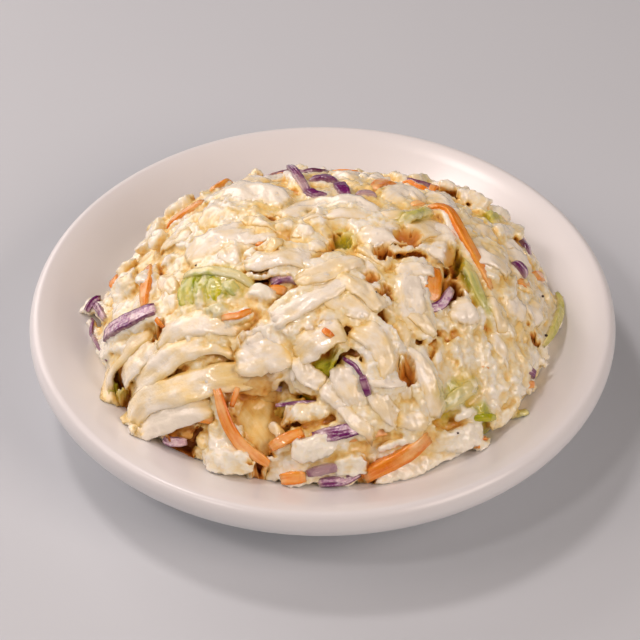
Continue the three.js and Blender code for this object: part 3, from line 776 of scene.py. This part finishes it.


# depth is a mask for painted shade: deeper places are painted more golden
def depthAt(places):  # 0 on the crests, 1 some 3 mm under the heap's form, less near the foot
    x, y = places[:, 0], places[:, 1]
    over = (places[:, 2] - heapHeight(x, y)) * heapNormal(x, y)[:, 2]
    inward = heapEdge(np.arctan2(y, x)) - np.hypot(x, y)
    return np.clip((2.2 - over) / 5, 0, 1) * np.clip(inward / 6, 0.2, 1)


# each point of the mass takes the fibres and the tint of the nearest piece in it
near = relaxed(places, pairs, 5)
# hollow and depth are masks for painted shade in the creases and low places
floatAttribute(cabbage.data, "hollow", np.clip(0.5 + 1.2 * ((near - places) * normals).sum(1), 0, 1))
floatAttribute(cabbage.data, "depth", depthAt(places))
sourceTree = BVHTree.FromPolygons([Vector(p) for p in sourcePoints], sourceFaces.tolist())
nearest = [sourceTree.find_nearest(Vector(p)) for p in places]
index = np.array([hit[2] for hit in nearest])
spot = np.array([hit[0][:] for hit in nearest])
a, b, c = (sourcePoints[sourceFaces[index, k]] for k in range(3))
whole = np.linalg.norm(np.cross(b - a, c - a), axis=1) + 1e-12
shareA = np.linalg.norm(np.cross(b - spot, c - spot), axis=1) / whole
shareB = np.linalg.norm(np.cross(c - spot, a - spot), axis=1) / whole
grain = np.vstack(grains)[sourceFaces[index]]
weights = np.column_stack([shareA, shareB, 1 - shareA - shareB])[:, :, None]
vectorAttribute(cabbage.data, "grain", (grain * weights).sum(1))
owner = np.repeat(np.arange(len(parts)), [len(triangles) for _, triangles in parts])[index]
colours = np.column_stack([np.array(tints)[owner], np.array(greenness)[owner], np.zeros(len(places))])
greenFound = np.maximum(relaxed(colours, pairs, 4)[:, 1] * 0.6, greenAt(places, greenStains + deepGreens))
# shelter is a mask for painted shade where the heap is closed in
shelter = relaxed(np.repeat(shelterAt(cabbage.data)[:, None], 3, axis=1), pairs, 2)[:, 0]
floatAttribute(cabbage.data, "tint", relaxed(colours, pairs, 2)[:, 0])
floatAttribute(cabbage.data, "green", greenFound)
# pit mask for the painted shade and glow in the pits
floatAttribute(cabbage.data, "pitShade", pitShadeAt(places, pits))
floatAttribute(cabbage.data, "shelter", shelter)
print("mass finished:", len(cabbage.data.polygons), "triangles")

# the outer leaves again as crisp thin pieces with their own torn edges
crispRules = {"hole": (3.4, 5), "holeShare": 0.75, "air": 0.2, "shelterTo": 0.28, "hollow": 0.45,
              "ownGreen": 0.9, "stain": 0.85, "pitShade": 0.85, "raised": 0.6}
fine = {"leaf": unitStrip(17, 9, 0, 0), "strip": unitStrip(15, 4, 2, 0.35)}
leafyPiece = {"kind": "strip", "thickness": 1.0, "thinEdge": 0.4, "sink": 1.2, "ragged": 0.5, "crumple": 0.5,
              "tint": 0.3}
leafyGreens = [{**leafyPiece, **piece, "path": np.array(piece["path"], float) + (0, 0, crispRules["raised"])}
               for piece in greens if piece.get("crisp")]
crisp = cabbageFolds + randomLeaves + leafyGreens
points, faces = joined([bend(fine[leaf["kind"]], leaf) for leaf in crisp])
tornHoles = [pit for pit in pits if pit[2] < crispRules["hole"][0] and pit[3] < crispRules["hole"][1]]
points = keepAboveWell(dipped(points, tornHoles, crispRules["holeShare"]), crispRules["air"])
leaves = meshObject("tornLeaves", points, faces)


def eachPoint(values):  # one value for each leaf, repeated at all its points
    return np.repeat(values, [len(fine[leaf["kind"]][0]) for leaf in crisp])


places = placesOf(leaves.data)
ownFibres = [grainOf(fine[leaf["kind"]], leaf) for leaf in crisp]
ownFibres = [fibres + (0, 11 * (number % 7), 0) for number, fibres in enumerate(ownFibres)]
vectorAttribute(leaves.data, "grain", np.vstack(ownFibres))
own = eachPoint([crispRules["ownGreen"] * leaf.get("crisp", 0) for leaf in crisp])
# shelter, hollow, depth and the pit mask paint shade on the leaves as on the mass
for name, values in (
        ("tint", eachPoint([leaf["tint"] for leaf in crisp])),
        ("shelter", np.minimum(shelterAt(leaves.data), crispRules["shelterTo"])),
        ("hollow", np.full(len(places), crispRules["hollow"])),
        ("depth", depthAt(places)),
        ("green", np.maximum(greenAt(places, greenStains) * crispRules["stain"], own)),
        ("pitShade", pitShadeAt(places, tornHoles) * crispRules["pitShade"])):
    floatAttribute(leaves.data, name, values)
print("torn leaves:", len(crisp), "pieces,", len(faces), "triangles")


def node(tree, kind, **settings):
    made = tree.nodes.new(kind)
    for key, value in settings.items():
        if key in made.inputs.keys():
            made.inputs[key].default_value = value
        else:
            setattr(made, key, value)
    return made


def newMaterial(name, settings):
    material = bpy.data.materials.new(name)
    material.use_nodes = True
    shader = material.node_tree.nodes["Principled BSDF"]
    for key, value in settings.items():
        shader.inputs[key].default_value = value
    return material, material.node_tree, shader


def srgb(*channels):
    shares = [channel / 255 for channel in channels]
    return tuple(((c + 0.055) / 1.055) ** 2.4 if c > 0.04 else c / 12.92 for c in shares) + (1,)


def newGroup(name, outputs):
    group = bpy.data.node_groups.new(name, "ShaderNodeTree")
    for label in outputs:
        group.interface.new_socket(label, in_out="OUTPUT", socket_type="NodeSocketFloat")
    return group, node(group, "NodeGroupOutput")


def placedGroup(tree, group):
    made = tree.nodes.new("ShaderNodeGroup")
    made.node_tree = group
    return made.outputs


def joinValues(tree, values, sockets):
    for value, socket in zip(values, sockets):
        if isinstance(value, bpy.types.NodeSocket):
            tree.links.new(value, socket)
        else:
            socket.default_value = value


def mapped(tree, value, low, high, newLow=0.0, newHigh=1.0):
    made = node(tree, "ShaderNodeMapRange")
    sockets = [made.inputs[name] for name in ("Value", "From Min", "From Max", "To Min", "To Max")]
    joinValues(tree, (value, low, high, newLow, newHigh), sockets)
    return made.outputs["Result"]


def mixed(tree, factor, first, second):
    made = node(tree, "ShaderNodeMix", data_type="RGBA")
    joinValues(tree, (factor, first, second), (made.inputs[0], made.inputs[6], made.inputs[7]))
    return made.outputs[2]


def maths(tree, operation, first, second):
    made = node(tree, "ShaderNodeMath", operation=operation)
    joinValues(tree, (first, second), made.inputs)
    return made.outputs[0]


def attribute(tree, name, output="Fac"):
    return node(tree, "ShaderNodeAttribute", attribute_name=name).outputs[output]


# adds values of 0 to 1, each spread from its low to its high; a name is an attribute's
def summed(tree, total, *terms):
    for value, low, high in terms:
        value = attribute(tree, value) if isinstance(value, str) else value
        total = maths(tree, "ADD", total, mapped(tree, value, 0, 1, low, high))
    return total


def objectPlace(tree):
    return node(tree, "ShaderNodeTexCoord").outputs["Object"]


def noiseOn(tree, vector, scale, detail=3.0):
    made = node(tree, "ShaderNodeTexNoise", Scale=scale, Detail=detail, Roughness=0.55)
    tree.links.new(vector, made.inputs["Vector"])
    return made.outputs["Fac"]


def bumped(tree, shader, height, strength, distance=0.0004):
    bump = node(tree, "ShaderNodeBump", Strength=strength, Distance=distance)
    tree.links.new(height, bump.inputs["Height"])
    tree.links.new(bump.outputs["Normal"], shader.inputs["Normal"])


def ramped(tree, value, stops):
    ramp = node(tree, "ShaderNodeValToRGB")
    for position, colour in stops:
        ramp.color_ramp.elements.new(position).color = srgb(*colour)
    ramp.color_ramp.elements.remove(ramp.color_ramp.elements[0])
    ramp.color_ramp.elements.remove(ramp.color_ramp.elements[-1])
    tree.links.new(value, ramp.inputs["Fac"])
    return ramp.outputs["Color"]


# fine lumps and runs of dressing, in object space
dressing, out = newGroup("dressingSurface", ("Patches", "Height", "Gloss"))
where = objectPlace(dressing)
lumps, grain = noiseOn(dressing, where, 850.0), noiseOn(dressing, where, 1900.0, 2.0)
height = maths(dressing, "ADD", lumps, maths(dressing, "MULTIPLY", grain, 0.35))
dressing.links.new(mapped(dressing, noiseOn(dressing, where, 130.0, 4.0), 0.35, 0.65), out.inputs["Patches"])
dressing.links.new(height, out.inputs["Height"])
gloss = mapped(dressing, noiseOn(dressing, where, 260.0), 0.3, 0.7, 0.18, 0.36)
dressing.links.new(gloss, out.inputs["Gloss"])

# fibres along a shred, from the shred's own coordinates
fibres, out = newGroup("fibresAlong", ("Streaks", "Height"))
stretch = node(fibres, "ShaderNodeVectorMath", operation="MULTIPLY")
stretch.inputs[1].default_value = (0.12, 0.9, 0.9)
fibres.links.new(attribute(fibres, "grain", "Vector"), stretch.inputs[0])
streaks = noiseOn(fibres, stretch.outputs[0], 1.0)
fibres.links.new(mapped(fibres, streaks, 0.3, 0.7), out.inputs["Streaks"])
fibres.links.new(streaks, out.inputs["Height"])

# painted shade: near white on the crests, golden then brown as a place is more closed in
crestToShadeTones = (
    (0.0, (255, 247, 229)), (0.12, (252, 236, 200)), (0.28, (247, 220, 152)),
    (0.44, (239, 199, 110)), (0.64, (216, 150, 56)), (0.94, (134, 66, 14)))


# cream dressing over translucent leaf, with painted shade: golden to brown where it is closed in, dark amber
# in the pits
def creamSlaw(name, weight, scale, radius):
    material, tree, shader = newMaterial(name, {
        "Subsurface Weight": weight, "Subsurface Scale": scale, "Subsurface Radius": radius, "IOR": 1.45,
        "Coat Roughness": 0.1, "Coat IOR": 1.5})
    surface, lines = placedGroup(tree, dressing), placedGroup(tree, fibres)
    pitShade = attribute(tree, "pitShade")
    sheltered = maths(tree, "ADD", maths(tree, "MULTIPLY", attribute(tree, "shelter"), 0.82), -0.03)
    shadeAndTone = summed(
        tree, sheltered, ("depth", -0.02, 0.27), ("hollow", -0.14, 0.14), ("tint", 0.0, 0.16),
        (surface["Patches"], -0.1, 0.17), (lines["Streaks"], -0.05, 0.07), (pitShade, 0.0, 0.42))
    tone = ramped(tree, shadeAndTone, crestToShadeTones)
    # the pits painted dark amber: painted shade and glow
    tone = mixed(tree, maths(tree, "MULTIPLY", pitShade, 0.7), tone, srgb(204, 118, 18))
    leafy = mixed(tree, lines["Streaks"], srgb(134, 156, 0), srgb(214, 202, 20))
    veil = mapped(tree, surface["Patches"], 0, 1, 1.35, 0.85)
    greenShare = node(tree, "ShaderNodeClamp")
    tree.links.new(maths(tree, "MULTIPLY", attribute(tree, "green"), veil), greenShare.inputs["Value"])
    tree.links.new(mixed(tree, greenShare.outputs["Result"], tone, leafy), shader.inputs["Base Color"])
    roughness = maths(tree, "ADD", surface["Gloss"], maths(tree, "MULTIPLY", pitShade, 0.4))
    tree.links.new(roughness, shader.inputs["Roughness"])
    wetness = mapped(tree, shadeAndTone, 0.2, 0.55, 0.7, 0.1)  # on the crests more than in the gaps
    tree.links.new(wetness, shader.inputs["Coat Weight"])
    relief = maths(tree, "ADD", surface["Height"], maths(tree, "MULTIPLY", lines["Height"], 0.4))
    bumped(tree, shader, relief, 0.45)
    return material


cabbage.data.materials.append(creamSlaw("dressedCabbage", 0.45, 0.0013, (1, 0.9, 0.7)))
leaves.data.materials.append(creamSlaw("leafFace", 0.12, 0.0005, (1, 0.95, 0.9)))
for thing in (cabbage, leaves):
    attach(thing, "root")
    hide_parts("coleslaw")

plainShred = {"taper": 0.25, "thickness": 1.5, "ragged": 0.25, "crumple": 0.25}
smearing = {"look": 3.0, "within": 0.8}


# shreds of one colour joined as one piece; a shred near the mass is smeared with dressing
def shredObject(name, pieces, material):
    parts, grain, shade, smear = [], [], [], []
    for number, piece in enumerate(pieces):
        bent, triangles = bend(shredShape, {"seed": number * 2.1, **plainShred, **piece})
        bent = keepAboveWell(bent, 0.2)
        parts.append((bent, triangles))
        grain.append(grainOf(shredShape, {**plainShred, **piece}) + (number * 37.0, number * 11.0, 0))
        shade.append(piece.get("shade", draw.uniform(0, 1)))
        gap = [massTree.find_nearest(Vector(p), smearing["look"])[3] or smearing["look"] for p in bent]
        smear.append(np.clip(1 - np.array(gap) / smearing["within"], 0, 1))
    points, faces = joined(parts)
    thing = meshObject(name, points, faces)
    vectorAttribute(thing.data, "grain", np.vstack(grain))
    each = len(shredShape[0])
    for label, values in (
            ("shade", np.repeat(shade, each)), ("smear", np.concatenate(smear)),
            ("across", np.tile(np.abs(shredShape[0][:, 1]) * 2, len(pieces))),
            ("dark", np.repeat([piece.get("dark", 0.5) for piece in pieces], each))):
        floatAttribute(thing.data, label, values)
    thing.data.materials.append(material)
    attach(thing, "root")
    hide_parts("coleslaw")
    print(name, len(pieces), "pieces", len(faces), "triangles")


def shredMaterial(name, settings):
    material, tree, shader = newMaterial(name, {"IOR": 1.45, **settings})
    surface, lines = placedGroup(tree, dressing), placedGroup(tree, fibres)
    tree.links.new(surface["Gloss"], shader.inputs["Roughness"])
    return material, tree, shader, surface, lines


def coated(tree, shader, flesh, coat, tone):  # coat: how much dressing, from none at low to most at high
    tree.links.new(mixed(tree, mapped(tree, *coat), flesh, srgb(*tone)), shader.inputs["Base Color"])


carrot, tree, shader, surface, lines = shredMaterial("carrot", {
    "Subsurface Weight": 0.25, "Subsurface Scale": 0.0012, "Subsurface Radius": (1.0, 0.5, 0.2),
    "Coat Weight": 0.6, "Coat Roughness": 0.12})
flesh = mixed(tree, lines["Streaks"], srgb(230, 120, 8), srgb(250, 170, 54))
coat = mapped(tree, surface["Patches"], 0.45, 0.95, 0, 0.5)
coat = summed(tree, coat, ("shade", -0.1, 0.3), ("smear", 0, 0.3))
coat = maths(tree, "ADD", coat, mapped(tree, attribute(tree, "across"), 0.35, 0.95, 0.25, -0.2))
coat = summed(tree, coat, (lines["Streaks"], -0.25, 0.3))
coated(tree, shader, flesh, (coat, 0.1, 0.9, 0.0, 0.85), (253, 202, 140))
bumped(tree, shader, maths(tree, "ADD", lines["Height"], surface["Height"]), 0.4)

# purple cabbage: a dark skin along the edges, lilac cut faces
purple, tree, shader, surface, lines = shredMaterial("purpleCabbage", {
    "Subsurface Weight": 0.15, "Subsurface Scale": 0.001, "Coat Weight": 0.6, "Coat Roughness": 0.12})
mottle = mapped(tree, surface["Height"], 0.56, 0.8)
lilac = mixed(tree, mottle, srgb(236, 216, 224), srgb(182, 130, 174))
streaky = summed(tree, lines["Streaks"], ("dark", -0.05, 0.5), (mottle, -0.05, 0.05))
flesh = mixed(tree, mapped(tree, streaky, 0.45, 0.7), lilac, srgb(112, 22, 98))
skin = attribute(tree, "across")
skin = summed(tree, skin, (surface["Patches"], -0.12, 0.12), (lines["Streaks"], -0.15, 0.15))
flesh = mixed(tree, mapped(tree, skin, 0.62, 0.82), flesh, srgb(100, 10, 86))
coat = summed(tree, mapped(tree, surface["Patches"], 0.5, 0.95, 0, 0.5), ("smear", 0, 0.3))
coated(tree, shader, flesh, (coat, 0.0, 1.0, 0.0, 0.85), (242, 218, 206))
bumped(tree, shader, maths(tree, "ADD", lines["Height"], surface["Height"]), 0.35)

green, tree, shader, surface, lines = shredMaterial("greenCabbage", {
    "Subsurface Weight": 0.35, "Subsurface Scale": 0.003, "Subsurface Radius": (0.8, 1.0, 0.25)})
leaf = mixed(tree, lines["Streaks"], srgb(166, 170, 44), srgb(214, 208, 104))
leaf = mixed(tree, mapped(tree, attribute(tree, "shade"), 0, 1, 0.0, 0.6), leaf, srgb(234, 228, 168))
coat = summed(tree, mapped(tree, surface["Patches"], 0.3, 0.9, 0, 0.5), ("smear", 0, 0.6))
coated(tree, shader, leaf, (coat, 0.0, 1.0, 0.0, 0.95), (246, 226, 180))
bumped(tree, shader, lines["Height"], 0.4)

shredObject("carrotShreds", carrots, carrot)
shredObject("purpleShreds", purples, purple)
shredObject("greenShreds", greenSticks, green)


# a colour that hardly varies over the object, between two tones
def evenTone(tree, shader, scale, low, high, first, second):
    share = mapped(tree, noiseOn(tree, objectPlace(tree), scale), low, high)
    tree.links.new(mixed(tree, share, srgb(*first), srgb(*second)), shader.inputs["Base Color"])


# specks of pepper, little rounded grains
pepper, tree, shader = newMaterial("pepper", {"Roughness": 0.6})
evenTone(tree, shader, 3000.0, 0, 1, (30, 20, 14), (74, 52, 34))
speck = {"above": 9, "reach": 16, "raised": 0.1, "form": np.array((1, 0.8, 0.7))}
speckPlaces = (  # x, y, size
    (55.5, -2.5, 0.9), (55.8, -13.5, 1.0), (31.0, -46.0, 0.7), (-30.5, -12.0, 0.7), (12.0, -26.0, 0.6),
    (-8.0, 30.0, 0.8), (22, 38, 0.9))
bm = bmesh.new()
bmesh.ops.create_icosphere(bm, subdivisions=2, radius=0.5)
grainPoints, grainFaces = arraysOf(bm)
specks = []
for x, y, size in speckPlaces:
    base, up = Vector((x, y, float(heapHeight(x, y)))), Vector(heapNormal(np.array([x]), np.array([y]))[0])
    ground = massTree.ray_cast(base + up * speck["above"], -up, speck["reach"])[0] or base
    points = grainPoints * (size * speck["form"]) + np.array(ground) + np.array(up) * speck["raised"]
    specks.append((points, grainFaces))
pepperGrains = meshObject("pepperGrains", *joined(specks))
pepperGrains.data.materials.append(pepper)
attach(pepperGrains, "root")
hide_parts("coleslaw")

dishForm = {
    "radius": 75, "rim": 25, "lipHalfWidth": 2.4, "lipHalfHeight": 3.6, "wall": 4.2, "insideTo": 70.2,
    "outsideFrom": 69, "foot": 39, "footWidth": 4.5, "footRound": 1.0, "bevel": 0.3, "steps": 224,
}


def underside(r):  # the wall's outer face, its thickness measured square to the slope
    slope = well["power"] * well["depth"] / well["radius"] * (r / well["radius"]) ** (well["power"] - 1)
    return wellHeight(r) - dishForm["wall"] * math.hypot(1, slope)


def dishProfile():
    d = dishForm
    inside = [(r, wellHeight(r)) for r in np.linspace(0, d["insideTo"], 30)]
    lip = [(d["radius"] - d["lipHalfWidth"] + d["lipHalfWidth"] * math.cos(math.radians(a)),
            d["rim"] - d["lipHalfHeight"] + d["lipHalfHeight"] * math.sin(math.radians(a)))
           for a in range(110, -91, -10)]
    outside = [(r, underside(r)) for r in np.linspace(d["outsideFrom"], d["foot"] + 0.8, 14)]
    outer, inner, bevel, corner = d["foot"], d["foot"] - d["footWidth"], d["bevel"], d["footRound"]
    foot = [(outer, underside(outer) - 1), (outer, corner), (outer - bevel, bevel), (outer - corner, 0),
            (inner + corner, 0), (inner + bevel, bevel), (inner, corner), (inner, underside(inner) - 0.8),
            (inner - 0.8, underside(inner) - 0.1)]
    below = [(r, underside(r)) for r in np.linspace(inner - 2, 0, 8)]
    return inside + lip + outside + foot + below


def solidObject(name, bm):
    mesh = bpy.data.meshes.new(name)
    bm.to_mesh(mesh)
    bm.free()
    return linked(bpy.data.objects.new(name, mesh))


bm = bmesh.new()
corners = [bm.verts.new((r * mm, 0, z * mm)) for r, z in dishProfile()]
edges = [bm.edges.new(pair) for pair in zip(corners, corners[1:])]
outline, steps = corners + edges, dishForm["steps"]
bmesh.ops.spin(bm, geom=outline, axis=(0, 0, 1), angle=math.tau, steps=steps, use_merge=True)
bmesh.ops.remove_doubles(bm, verts=bm.verts, dist=1e-6)
bmesh.ops.recalc_face_normals(bm, faces=bm.faces)
for face in bm.faces:
    face.smooth = True
dish = solidObject("glazedDish", bm)
glaze, tree, shader = newMaterial("whiteGlaze", {"Coat Weight": 0.12, "Coat Roughness": 0.15, "IOR": 1.5})
evenTone(tree, shader, 18.0, 0.3, 0.7, (230, 230, 231), (232, 232, 233))
place = objectPlace(tree)
tree.links.new(mapped(tree, noiseOn(tree, place, 60.0), 0.3, 0.7, 0.28, 0.32), shader.inputs["Roughness"])
bumped(tree, shader, noiseOn(tree, place, 45.0, 2.0), 0.01)
dish.data.materials.append(glaze)
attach(dish, "root")
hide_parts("dish")
print("dish:", len(dish.data.polygons), "faces")

bm = bmesh.new()
bmesh.ops.create_grid(bm, x_segments=1, y_segments=1, size=3)
floor = solidObject("floor", bm)
pale, tree, shader = newMaterial("paleFloor", {"Roughness": 0.7})
evenTone(tree, shader, 5.0, 0.3, 0.7, (199, 206, 213), (202, 209, 215))
floor.data.materials.append(pale)

view = {"elevation": 42.68, "distance": 560, "lens": 124.1, "target": (-0.64, -6.69, 25.0), "clip": 0.01}
lift = math.radians(view["elevation"])
target = Vector(view["target"]) * mm
camera = linked(bpy.data.objects.new("camera", bpy.data.cameras.new("camera")))
camera.data.lens = view["lens"]
camera.data.clip_start = view["clip"]
camera.location = target + Vector((0, -math.cos(lift), math.sin(lift))) * view["distance"] * mm
camera.rotation_euler = (math.pi / 2 - lift, 0, 0)
bpy.context.scene.camera = camera


def softLight(name, place, size, power, colour):  # aimed at the heap
    lamp = bpy.data.lights.new(name, "AREA")
    lamp.shape, lamp.size, lamp.size_y = "RECTANGLE", *size
    lamp.energy, lamp.color = power, colour
    thing = linked(bpy.data.objects.new(name, lamp))
    thing.location = place
    thing.rotation_euler = (target - Vector(place)).to_track_quat("-Z", "Y").to_euler()


softLight("keyLight", (-0.62, 0.6, 0.42), (0.7, 0.6), 4.4, (1, 0.86, 0.81))
softLight("sideLight", (-0.6, -0.1, 0.55), (0.4, 0.4), 1.6, (1, 0.82, 0.76))
softLight("sparkLight", (-0.28, 0.2, 0.8), (0.12, 0.12), 1.65, (1, 0.865, 0.83))
softLight("frontSpark", (-0.35, -0.35, 0.7), (0.1, 0.1), 0.85, (1, 0.87, 0.83))
softLight("frontLight", (-0.3, -0.7, 0.5), (0.5, 0.5), 0.5, (1, 0.8, 0.71))
softLight("fillLight", (0.5, -0.4, 0.5), (0.4, 0.4), 2.85, (1, 0.82, 0.74))
sky = {"Color": (0.9, 0.84, 0.8, 1), "Strength": 0.06}
world = bpy.data.worlds.new("studio")
world.use_nodes = True
for key, value in sky.items():
    world.node_tree.nodes["Background"].inputs[key].default_value = value
bpy.context.scene.world = world
bpy.context.scene.view_settings.view_transform = "Standard"
